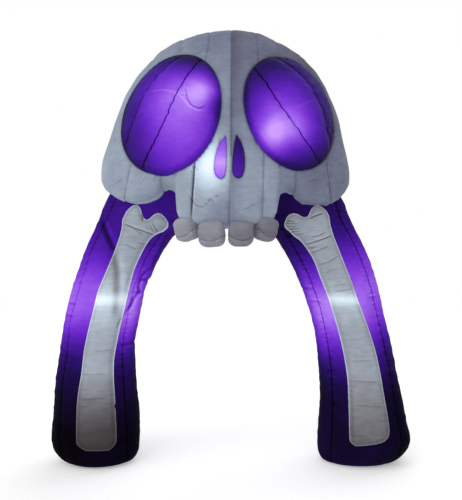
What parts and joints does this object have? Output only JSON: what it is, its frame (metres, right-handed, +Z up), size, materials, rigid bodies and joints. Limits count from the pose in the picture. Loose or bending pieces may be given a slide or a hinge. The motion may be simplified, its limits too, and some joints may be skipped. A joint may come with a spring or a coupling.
{
  "type": "inflatable skull archway",
  "caption": "Walk-through inflatable archway: white skull head with purple egg-shaped eyes and blocky teeth over two purple legs with white bone panels.",
  "frame": {"origin": "on the ground, at the centre of the bounding box", "axes": "+Z up along the height, the face looks along -Y, +X to the right as seen from the front"},
  "size_m": [2.76, 1.2557, 3.4167],
  "materials": {
    "white_cloth": "satin",
    "tooth_cloth": "satin",
    "purple_cloth": "satin",
    "eye_cloth": "satin",
    "nostril_cloth": "satin",
    "bone_cloth": "satin"
  },
  "bodies": {
    "root": {"head": "white_cloth", "eye_left": "eye_cloth", "eye_right": "eye_cloth", "nostril_left": "nostril_cloth", "nostril_right": "nostril_cloth", "tooth_1": "tooth_cloth", "tooth_2": "tooth_cloth", "tooth_3": "tooth_cloth", "tooth_4": "tooth_cloth", "leg_left": "purple_cloth", "leg_right": "purple_cloth", "crown": "purple_cloth", "bone_left": "bone_cloth", "bone_right": "bone_cloth"}
  },
  "joints": []
}
